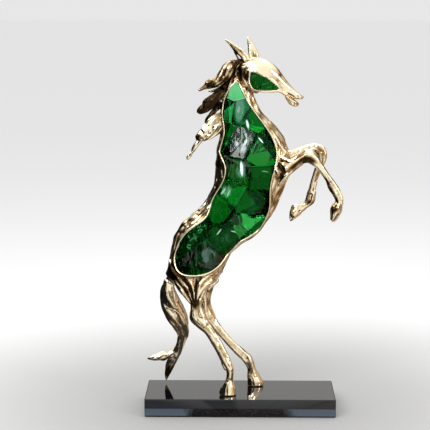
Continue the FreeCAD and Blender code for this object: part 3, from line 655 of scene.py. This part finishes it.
build_bronze()
field = soften(field, 1)
grid_x = (LOW[0] + np.arange(SHAPE[0]) * VOXEL)[:, None, None]
grid_z = (LOW[2] + np.arange(SHAPE[2]) * VOXEL)[None, None, :]
head_zone = ramp(grid_x, 12, 26) * ramp(grid_z, 488, 500)
hoof_zone = 1 - ramp(grid_z, 44, 56)
rim_zone = 1 - ramp(np.abs(outline_distance(WINDOW)).astype(np.float32), 2.5, 8.0)[:, None, :]
rough_zone = (1 - 0.9 * head_zone - 0.55 * hoof_zone) * (1 - 0.85 * rim_zone)
wrinkle = 1 - np.abs(noise((7.5, 7.5, 10.0)))
limb_zone = np.maximum(1 - ramp(grid_z, 175, 195), ramp(grid_x, 78, 92))
field += rough_zone * (1 - 0.6 * limb_zone) * (0.8 * np.clip(wrinkle, 0, 1) ** 3 - 0.22)
field += rough_zone * 0.4 * noise((11.0, 11.0, 13.0))
field += (0.1 + 0.9 * rough_zone) * 0.15 * noise((3.6, 3.6, 4.4))
field[:, :, : int((FEET_LEVEL - LOW[2]) / VOXEL)] = OPEN
# Blurred for the darkening in the creases, partly patina and partly painted shade.
hollow = soften(np.clip(field, -6, 6), 6)


def add_object(name, data):
    """Puts new data in the scene."""
    thing = bpy.data.objects.new(name, data)
    bpy.context.scene.collection.objects.link(thing)
    return thing


# ---- the bronze's skin ----
def sample(values, points):
    """The grid's values at points, in grid steps."""
    base = np.clip(np.floor(points).astype(int), 0, np.array(SHAPE) - 2)
    t = points - base
    total = 0
    for i in (0, 1):
        for j in (0, 1):
            for k in (0, 1):
                weight = np.where(i, t[:, 0], 1 - t[:, 0]) * np.where(j, t[:, 1], 1 - t[:, 1])
                weight = weight * np.where(k, t[:, 2], 1 - t[:, 2])
                total = total + weight * values[base[:, 0] + i, base[:, 1] + j, base[:, 2] + k]
    return total


def skin():
    """One mesh for each bronze node, cut from the grid's zero surface."""
    grid = vdb.FloatGrid(3.0)
    grid.copyFromArray(np.clip(field, -3, 3), ijk=(0, 0, 0), tolerance=0.0)
    points, quads = grid.convertToQuads(0.0)
    quads = quads[:, ::-1].astype(np.int64)
    a, b, c, d = (points[quads[:, k]] for k in range(4))
    face_normals = np.cross(c - a, d - b)
    normals = np.zeros_like(points)
    for k in range(4):
        np.add.at(normals, quads[:, k], face_normals)
    normals /= np.linalg.norm(normals, axis=1, keepdims=True) + 1e-12
    outward = sample(field, points + normals * 0.5) - sample(field, points - normals * 0.5)
    if outward.mean() < 0:
        quads = quads[:, ::-1]
        normals = -normals
    cells = np.clip(np.round(points).astype(int), 0, np.array(SHAPE) - 1)
    owners = owner[cells[:, 0], cells[:, 1], cells[:, 2]]
    places = (points * VOXEL + LOW) / 1000
    # Each piece's painted tone: patina, painted shade, and painted highlights below zero.
    patina_and_light = np.array([PIECE_PATINA_AND_LIGHT.get(name, 0.0) for name in BRONZE])[owners]
    for x, z, spread, amount in PATINA_AND_LIGHT_SPOTS:
        away = ((places[:, 0] * 1000 - x) ** 2 + (places[:, 2] * 1000 - z) ** 2) / spread**2
        patina_and_light += amount * np.exp(-away)
    # Darker in the creases and spots, partly patina and partly painted shade; lighter spots are painted
    # highlights.
    patina_and_shade = np.clip(0.5 + patina_and_light - sample(hollow, points) / 2.4, 0, 1).astype(np.float32)
    pieces = {}
    face_owner = owners[quads[:, 0]]
    for index, name in enumerate(BRONZE):
        mine = quads[face_owner == index]
        if not len(mine):
            continue
        used, local = np.unique(mine, return_inverse=True)
        local = local.reshape(mine.shape)
        mesh = bpy.data.meshes.new(name + "_skin")
        mesh.vertices.add(len(used))
        mesh.vertices.foreach_set("co", places[used].astype(np.float32).ravel())
        mesh.loops.add(local.size)
        mesh.loops.foreach_set("vertex_index", local.astype(np.int32).ravel())
        mesh.polygons.add(len(local))
        mesh.polygons.foreach_set("loop_start", np.arange(0, local.size, 4, dtype=np.int32))
        mesh.polygons.foreach_set("use_smooth", np.ones(len(local), bool))
        mesh.update(calc_edges=True)
        mesh.normals_split_custom_set_from_vertices(normals[used].astype(np.float32).tolist())
        layer = mesh.attributes.new("patina_and_shade", "FLOAT", "POINT")
        layer.data.foreach_set("value", patina_and_shade[used])
        pieces[name] = add_object(name + "_skin", mesh)
    return pieces


# ---- materials ----
def new_material(name):
    material = bpy.data.materials.new(name)
    material.use_nodes = True
    tree = material.node_tree
    return material, tree, tree.nodes["Principled BSDF"]


def feed(tree, socket, source):
    """Links a socket to another, or sets it to a plain value."""
    if isinstance(source, bpy.types.NodeSocket):
        tree.links.new(source, socket)
    else:
        socket.default_value = source


def fill(tree, node, **sources):
    """Feeds a node's inputs by name, with _ for a space."""
    for name, source in sources.items():
        feed(tree, node.inputs[name.replace("_", " ")], source)


def add_node(tree, kind, **sources):
    """A new shader node with its inputs fed."""
    node = tree.nodes.new("ShaderNode" + kind)
    fill(tree, node, **sources)
    return node


def ramp_of(tree, source, stops):
    """A colour ramp driven by a socket."""
    node = add_node(tree, "ValToRGB", Fac=source)
    elements = node.color_ramp.elements
    while len(elements) < len(stops):
        elements.new(0.5)
    for element, (position, colour) in zip(elements, stops):
        element.position = position
        element.color = (*colour, 1)
    return node.outputs["Color"]


def worked(tree, kind, operation, sources):
    """A node that puts its sources together by one operation."""
    node = add_node(tree, kind)
    node.operation = operation
    for source, socket in zip(sources, node.inputs):
        feed(tree, socket, source)
    return node


def joined(tree, operation, *sources):
    """Numbers, each a socket or plain, put together."""
    return worked(tree, "Math", operation, sources).outputs[0]


def vector_of(tree, operation, *sources):
    """Vectors put together. A length comes out as a number."""
    node = worked(tree, "VectorMath", operation, sources)
    return node.outputs["Value" if operation == "LENGTH" else "Vector"]


def spread_of(tree, source, low, high, start=0.0, end=1.0, kind="SMOOTHSTEP"):
    """From start to end as a socket goes from low to high."""
    node = add_node(tree, "MapRange", Value=source, From_Min=low, From_Max=high, To_Min=start, To_Max=end)
    node.interpolation_type = kind
    return node.outputs["Result"]


def blend_of(tree, factor, first, second, kind="MIX"):
    """A mix of two colours, each a socket or a plain colour."""
    node = add_node(tree, "Mix")
    node.data_type = "RGBA"
    node.blend_type = kind
    fill(tree, node, Factor=factor, A=first, B=second)
    return node.outputs["Result"]


def grain_of(tree, place, scale, detail=2.0, distortion=0.0):
    """A cloudy pattern."""
    node = add_node(tree, "TexNoise", Vector=place, Scale=scale, Detail=detail, Distortion=distortion)
    return node.outputs["Fac"]


def bump_of(tree, height, strength, distance):
    """A normal that follows a pattern's height."""
    return add_node(tree, "Bump", Strength=strength, Distance=distance, Height=height).outputs["Normal"]


def gold_material():
    """Polished gold-toned bronze, dark where it folds and in darker spots, partly patina and partly painted
    shade, and lighter where highlights are painted.
    """
    material, tree, shader = new_material("gold_bronze")
    patina_and_shade = add_node(tree, "Attribute")
    patina_and_shade.attribute_name = "patina_and_shade"
    place = add_node(tree, "TexCoord").outputs["Object"]
    patina_shade_and_grain = joined(tree, "MULTIPLY_ADD", grain_of(tree, place, 55.0, 3.0), 0.5, patina_and_shade.outputs["Fac"])
    colour = ramp_of(tree, patina_shade_and_grain, [
        (0.68, (0.95, 0.83, 0.60)), (0.83, (0.42, 0.29, 0.14)), (0.98, (0.03, 0.018, 0.008))])
    fill(tree, shader, Metallic=1.0, Base_Color=colour,
         Roughness=spread_of(tree, patina_shade_and_grain, 0.7, 1.0, 0.09, 0.28, "LINEAR"),
         Normal=bump_of(tree, grain_of(tree, place, 420.0), 0.22, 0.0006))
    return material


def glint_and_pale_spot_mask(tree, place, painted_glints_and_pale_spots, facet):
    """How pale each spot of a lump is, the spots painted highlights and reflections as glass_material takes
    them, facet the share of a broken pattern.
    """
    pale = None
    for x, z, half_length, half_width, lean, amount, faceted in painted_glints_and_pale_spots:
        away = vector_of(tree, "SUBTRACT", place, (x / 1000, 0, z / 1000))
        turned = add_node(tree, "VectorRotate", Vector=away, Angle=math.radians(-lean))
        turned.rotation_type = "Y_AXIS"
        scaled = vector_of(tree, "MULTIPLY", turned.outputs[0], (1000 / half_width, 0, 1000 / half_length))
        spot = spread_of(tree, vector_of(tree, "LENGTH", scaled), 1.0, 0.65, 0.0, amount, "LINEAR")
        if faceted:
            spot = joined(tree, "MULTIPLY", spot, facet)
        pale = joined(tree, "MAXIMUM", pale, spot) if pale else spot
    return pale


def glass_material(name, tone, density, sheen, ripple, painted_glints_and_pale_spots=()):
    """Clear glass of one tone that darkens with thickness. sheen is the colour of its reflections and ripple
    its unevenness. Its pale spots are painted highlights and reflections, each (x, z, half length, half
    width, lean, how pale, how faceted)."""
    material, tree, shader = new_material(name)
    place = add_node(tree, "TexCoord").outputs["Object"]
    stretch = add_node(tree, "Mapping", Vector=place, Scale=(1.0, 1.0, 0.35), Rotation=(0.3, 0.5, 0.2))
    stretched = stretch.outputs["Vector"]
    wave = grain_of(tree, stretched, 110.0, 1.0, 0.8)
    fill(tree, shader, Roughness=0.03, IOR=1.47, Specular_Tint=sheen,
         Normal=bump_of(tree, wave, ripple, 0.002))
    absorb = add_node(tree, "VolumeAbsorption", Color=GREEN, Density=density)
    fill(tree, tree.nodes["Material Output"], Volume=absorb.outputs["Volume"])
    if not painted_glints_and_pale_spots:
        fill(tree, shader, Base_Color=tone, Transmission_Weight=1.0)
        return material
    facets = add_node(tree, "TexVoronoi", Vector=stretched, Scale=190.0)
    cell = add_node(tree, "SeparateXYZ", Vector=facets.outputs["Color"])
    pale = glint_and_pale_spot_mask(tree, place, painted_glints_and_pale_spots, spread_of(tree, cell.outputs[0], 0.2, 0.95))
    fill(tree, shader, Base_Color=blend_of(tree, pale, tone, GLINT_AND_SPOT_TONE),
         Transmission_Weight=joined(tree, "SUBTRACT", 1.0, pale))
    return material


def grainy_material(name, first, second, scale, roughness, metallic=0.0):
    """A material with a fine mottle."""
    material, tree, shader = new_material(name)
    place = add_node(tree, "TexCoord").outputs["Object"]
    grain = grain_of(tree, place, scale, 4.0)
    fill(tree, shader, Base_Color=ramp_of(tree, grain, [(0.35, first), (0.65, second)]),
         Roughness=roughness, Metallic=metallic)
    return material


def black_glass_material():
    """Polished black glass. Its edge has a grey upper half, and in its lower half a painted reflection:
    mottled grey, with a bluish gleam towards the ends.
    """
    material, tree, shader = new_material("black_glass")
    place = add_node(tree, "TexCoord").outputs["Object"]
    split = add_node(tree, "SeparateXYZ", Vector=place)
    height = spread_of(tree, split.outputs["Z"], 0.0, 0.029, kind="LINEAR")
    # The lower half of the edge: a painted reflection, mottled grey with a bluish gleam towards the ends.
    reflection_band = ramp_of(tree, height, [(position, (value, value, value)) for position, value in (
        (0.0, 0.0), (0.08, 0.0), (0.10, 1.0), (0.47, 0.85), (0.50, 0.0), (1.0, 0.0))])
    away = joined(tree, "ABSOLUTE", split.outputs["X"])
    wander = joined(tree, "MULTIPLY_ADD", grain_of(tree, place, 90.0), 0.03, away)
    gleam = joined(tree, "MULTIPLY", reflection_band, spread_of(tree, wander, 0.085, 0.105, kind="LINEAR"))
    mottle = joined(tree, "MULTIPLY", spread_of(tree, grain_of(tree, place, 320.0), 0.5, 0.65), reflection_band)
    upper = joined(tree, "MULTIPLY", spread_of(tree, height, 0.47, 0.53),
                   spread_of(tree, height, 0.985, 0.965))
    grey = joined(tree, "ADD", joined(tree, "MULTIPLY", upper, 0.9), joined(tree, "MULTIPLY", mottle, 0.6))
    black = blend_of(tree, grey, (0.003, 0.0035, 0.005, 1), (0.026, 0.027, 0.031, 1))
    fill(tree, shader, Roughness=0.03, IOR=1.45,
         Base_Color=blend_of(tree, gleam, black, (0.085, 0.115, 0.15, 1)))
    return material


# ---- glass lumps ----
def broken_lump(name, material):
    """The frame's lump with its facets cleaned up and its edges eased."""
    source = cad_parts[name]
    mesh = bpy.data.meshes.new(name + "_lump")
    work = bmesh.new()
    for v in source.data.vertices:
        work.verts.new(v.co)
    bmesh.ops.remove_doubles(work, verts=work.verts, dist=0.0003)
    bmesh.ops.convex_hull(work, input=work.verts)
    bmesh.ops.delete(work, geom=[v for v in work.verts if not v.link_faces], context="VERTS")
    middle = sum((v.co for v in work.verts), Vector()) / len(work.verts)
    for v in work.verts:  # closes up the seams between lumps a little
        v.co += (v.co - middle).normalized() * (0.0008 if "cheek" in name else 0.0003)
    bmesh.ops.dissolve_limit(work, angle_limit=math.radians(16), verts=work.verts, edges=work.edges)
    bmesh.ops.bevel(work, geom=list(work.edges), offset=0.0007, segments=2, profile=0.6,
                    affect="EDGES", clamp_overlap=True)
    bmesh.ops.recalc_face_normals(work, faces=work.faces)
    work.to_mesh(mesh)
    work.free()
    mesh.materials.append(material)
    return add_object(name + "_lump", mesh)


# ---- put it together ----
gold = gold_material()
GREEN = (0.0, 0.80, 0.38, 1)
LEAF = (0.12, 0.55, 0.22, 1)
PALE_LEAF = (0.5, 0.9, 0.6, 1)
WHITE = (1, 1, 1, 1)
GLINT_AND_SPOT_TONE = (0.78, 0.90, 0.93, 1)
# Each kind of glass as glass_material takes it. The pale spots in the lists are painted highlights and
# reflections.
KINDS = {
    "shade": ("shaded_green_glass", (0.03, 0.26, 0.08, 1), 240.0, LEAF, 1.0, [
        (20, 531, 5, 2.0, 60, 0.12, 0), (36, 519, 9, 1.0, 75, 0.15, 0), (44, 514, 7, 0.8, 80, 0.15, 0)]),
    "dark": ("dark_green_glass", (0.03, 0.26, 0.08, 1), 105.0, LEAF, 0.7, [
        (10.5, 457, 9, 2.4, -12, 0.9, 0), (-33.5, 289, 7, 1.2, 40, 0.7, 0), (-10, 289, 6.5, 1.1, 105, 0.7, 0),
        (-20, 279, 13, 8, 60, 0.10, 1), (20, 338, 9, 6, 30, 0.07, 1)]),
    "deep": ("deep_green_glass", (0.04, 0.38, 0.12, 1), 74.0, LEAF, 0.6, [
        (10.5, 457, 9, 2.4, -12, 0.9, 0), (31, 433, 7, 1.6, -40, 0.9, 0), (38, 385, 7, 1.4, 100, 0.35, 0)]),
    "mid": ("mid_green_glass", (0.10, 0.58, 0.22, 1), 62.0, LEAF, 0.5),
    "bright": ("bright_green_glass", (0.32, 0.86, 0.45, 1), 42.0, PALE_LEAF, 0.3),
    "teal": ("teal_green_glass", (0.04, 0.24, 0.12, 1), 50.0, LEAF, 0.5, [
        (-2, 480, 24, 9, 4, 0.24, 0), (-2, 476, 18, 6, 10, 0.42, 1)]),
    "striped": ("striped_green_glass", (0.08, 0.50, 0.19, 1), 60.0, LEAF, 0.8, [
        (-27, 353, 8, 1.8, 35, 0.6, 0), (-19, 350, 7, 1.0, 20, 0.6, 0), (-22, 353, 12, 9, 30, 0.30, 1)]),
    "glinting": ("glinting_green_glass", (0.05, 0.36, 0.15, 1), 62.0, WHITE, 0.5, [
        (1.5, 389, 14, 3.0, -4, 1.0, 0), (0, 389, 17, 9, -4, 0.30, 1)]),
    "silvery": ("silvery_green_glass", (0.03, 0.10, 0.09, 1), 50.0, WHITE, 0.6, [
        (3.5, 429, 18, 17, 0, 0.75, 1), (-52, 252, 15, 13, 60, 0.30, 1), (-70, 262, 12, 6, -30, 0.2, 1)]),
}
# Which lumps are of which kind. The others are deep.
LUMPS = {
    "bright": "neck_01 right_02 right_09 left_01 left_06 left_08",
    "teal": "neck_02",
    "mid": "neck_03 left_03 left_04 left_07",
    "dark": "neck_04 neck_05 right_07 right_10 right_11 right_13 left_11",
    "silvery": "right_01 right_12",
    "glinting": "right_04",
    "striped": "right_06",
    "shade": "cheek_rear cheek_front",
}
KIND_OF = {"glass_" + lump: kind for kind, lumps in LUMPS.items() for lump in lumps.split()}
glass = {kind: glass_material(*values) for kind, values in KINDS.items()}
black_glass = black_glass_material()
felt = grainy_material("black_felt", (0.010, 0.010, 0.011), (0.022, 0.022, 0.024), 900.0, 0.95)
steel = grainy_material("plated_steel", (0.48, 0.49, 0.50), (0.62, 0.63, 0.64), 300.0, 0.32, 1.0)

for name, piece in skin().items():
    piece.data.materials.append(gold)
    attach(piece, "root")
    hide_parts(name)

for name in sorted(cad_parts):
    if name.startswith("glass_"):
        lump = broken_lump(name, glass[KIND_OF.get(name, "deep")])
        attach(lump, "root")
        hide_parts(name)

for name, material in (("plinth_slab", black_glass), ("felt_underlay", felt), ("hoof_studs", steel),
                       ("stud_washers", steel), ("stud_nuts", steel)):
    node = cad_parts[name]
    node.data.materials.clear()
    node.data.materials.append(material)


# ---- floor, light and camera ----
def room_colour(tree, direction):
    """What polished bronze reflects level with it: a dark side, a tan side, a pale back, a patchy front."""
    split = add_node(tree, "SeparateXYZ", Vector=direction)
    across = spread_of(tree, split.outputs["X"], -1.0, 1.0, kind="LINEAR")
    dark, pale, tan = (0.010, 0.011, 0.009), (0.80, 0.79, 0.77), (0.54, 0.41, 0.31)
    sides = ramp_of(tree, across, [
        (0.0, dark), (0.17, dark), (0.26, pale), (0.74, pale), (0.86, tan), (1.0, tan)])
    patchy = ramp_of(tree, grain_of(tree, direction, 2.3, 1.0), [
        (0.40, (0.02, 0.018, 0.015)), (0.43, (0.45, 0.43, 0.40)), (0.46, (1.32, 1.32, 1.32))])
    clear, near_bar, far_bar = (1, 1, 1), (0.08, 0.07, 0.06), (0.12, 0.10, 0.08)
    behind = ramp_of(tree, across, [
        (0.0, clear), (0.14, clear), (0.18, near_bar), (0.29, near_bar), (0.33, clear), (0.67, clear),
        (0.71, far_bar), (0.82, far_bar), (0.86, clear)])
    front = blend_of(tree, spread_of(tree, split.outputs["Y"], -0.25, 0.25), patchy, behind)
    return blend_of(tree, 1.0, sides, front, "MULTIPLY"), split.outputs["Z"]


def seen_by_gloss(tree, usual, gleam):
    """Reflections see one shader, everything else the other."""
    choose = add_node(tree, "MixShader", Fac=add_node(tree, "LightPath").outputs["Is Glossy Ray"])
    tree.links.new(usual, choose.inputs[1])
    tree.links.new(gleam, choose.inputs[2])
    return choose.outputs[0]


def add_floor():
    """A pale top, darker towards the horse. Reflections see a painted glow in its place: painted shade under
    the horse, dark to its left and tan to its right, and further out the room's colours.
    """
    mesh = bpy.data.meshes.new("floor")
    mesh.from_pydata([(-40, -40, 0), (40, -40, 0), (40, 40, 0), (-40, 40, 0)], [], [(0, 1, 2, 3)])
    floor = add_object("floor", mesh)
    material, tree, shader = new_material("pale_floor")
    place = add_node(tree, "TexCoord").outputs["Object"]
    reach = vector_of(tree, "LENGTH", place)
    tone = blend_of(tree, spread_of(tree, reach, 0.15, 0.9), (0.475, 0.475, 0.47, 1),
                    (0.965, 0.965, 0.965, 1))
    fill(tree, shader, Base_Color=tone, Roughness=0.3, Specular_IOR_Level=0.0)
    room, _ = room_colour(tree, vector_of(tree, "NORMALIZE", place))
    split = add_node(tree, "SeparateXYZ", Vector=place)
    # painted reflection: an emission that only reflections see, dark to the left and tan to the right under
    # the horse
    painted_dusk = blend_of(tree, spread_of(tree, split.outputs["X"], -0.35, 0.3), (0.02, 0.016, 0.012, 1),
                    (0.46, 0.35, 0.24, 1))
    away = spread_of(tree, reach, 0.08, 0.32)
    ahead = joined(tree, "MULTIPLY", spread_of(tree, split.outputs["Y"], -0.06, -0.18), 0.85)
    painted_glow = add_node(tree, "Emission", Color=blend_of(tree, joined(tree, "MAXIMUM", away, ahead), painted_dusk, room))
    surface = seen_by_gloss(tree, shader.outputs[0], painted_glow.outputs[0])
    fill(tree, tree.nodes["Material Output"], Surface=surface)
    mesh.materials.append(material)


def add_softbox(name, place, target, size, power, colour=(1, 1, 1)):
    light = bpy.data.lights.new(name, "AREA")
    light.shape = "RECTANGLE"
    light.size, light.size_y = size
    light.energy = power
    light.color = colour
    box = add_object(name, light)
    box.location = place
    box.rotation_euler = (Vector(target) - Vector(place)).to_track_quat("-Z", "Y").to_euler()


def add_world():
    """Pale to look at and to light by, and a room with a bright ceiling in reflections."""
    world = bpy.data.worlds.new("studio")
    bpy.context.scene.world = world
    world.use_nodes = True
    tree = world.node_tree
    tree.nodes.clear()
    room, height = room_colour(tree, add_node(tree, "TexCoord").outputs["Generated"])
    overhead = blend_of(tree, spread_of(tree, height, 0.35, 0.75), room, (1.25, 1.24, 1.21, 1))
    seen = add_node(tree, "Background", Color=overhead)
    plain = add_node(tree, "Background", Color=(0.80, 0.80, 0.80, 1))
    add_node(tree, "OutputWorld", Surface=seen_by_gloss(tree, plain.outputs[0], seen.outputs[0]))


def add_camera():
    data = bpy.data.cameras.new("camera")
    data.lens = 123.77
    data.sensor_width = 36.0
    data.clip_end = 50.0
    camera = add_object("camera", data)
    camera.location = (0, -2.3062, 0.6517)
    camera.rotation_euler = (math.pi / 2 - 0.14613, 0, 0.017467)
    bpy.context.scene.camera = camera


add_floor()
add_world()
add_softbox("key", (-0.9, -1.7, 1.6), (0, 0, 0.35), (1.2, 0.8), 22)
add_softbox("top", (0.2, 0.3, 2.0), (0, 0, 0.3), (1.4, 1.0), 10)
add_softbox("side", (1.5, -1.2, 0.8), (0, 0, 0.35), (0.3, 1.2), 7, (1, 0.96, 0.9))
add_camera()
bpy.context.scene.view_settings.view_transform = "Standard"
